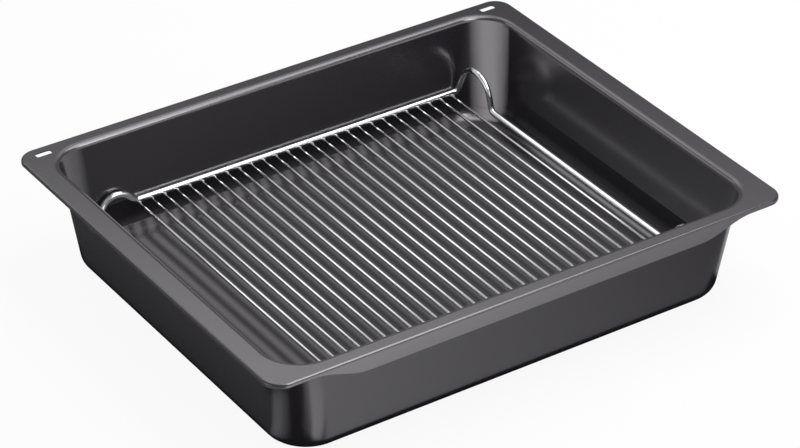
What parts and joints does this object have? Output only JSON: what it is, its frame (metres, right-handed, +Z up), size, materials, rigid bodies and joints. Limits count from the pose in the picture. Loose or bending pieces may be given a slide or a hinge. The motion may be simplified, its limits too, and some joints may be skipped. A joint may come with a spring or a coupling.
{
  "type": "roasting pan",
  "caption": "Deep rectangular enamelled roasting pan with a wide flange for an oven's side rails, and a loose chromed wire rack with an arched handle at each corner.",
  "frame": {"origin": "middle of the pan's underside", "axes": "+X along the long side to the right, +Y to the rear edge with the slots, +Z up out of the pan"},
  "size_m": [0.455, 0.375, 0.088],
  "materials": {
    "enamel": "dark anthracite non-stick enamel, semi-gloss, with a fine grain",
    "chrome": "bright chrome plating"
  },
  "bodies": {
    "pan": {"pan": "enamel"},
    "rack": {"rack_frame": "chrome", "cross_wire_01": "chrome", "cross_wire_02": "chrome", "cross_wire_03": "chrome", "cross_wire_04": "chrome", "cross_wire_05": "chrome", "cross_wire_06": "chrome", "cross_wire_07": "chrome", "cross_wire_08": "chrome", "cross_wire_09": "chrome", "cross_wire_10": "chrome", "cross_wire_11": "chrome", "cross_wire_12": "chrome", "cross_wire_13": "chrome", "cross_wire_14": "chrome", "cross_wire_15": "chrome", "cross_wire_16": "chrome", "cross_wire_17": "chrome", "cross_wire_18": "chrome", "cross_wire_19": "chrome", "cross_wire_20": "chrome", "cross_wire_21": "chrome", "cross_wire_22": "chrome", "cross_wire_23": "chrome", "cross_wire_24": "chrome", "cross_wire_25": "chrome", "cross_wire_26": "chrome", "cross_wire_27": "chrome"}
  },
  "joints": [
    {"name": "rack_lift", "type": "slide", "parent": "pan", "child": "rack", "axis": [0, 0, 1], "range_m": [0, 0.12]}
  ]
}
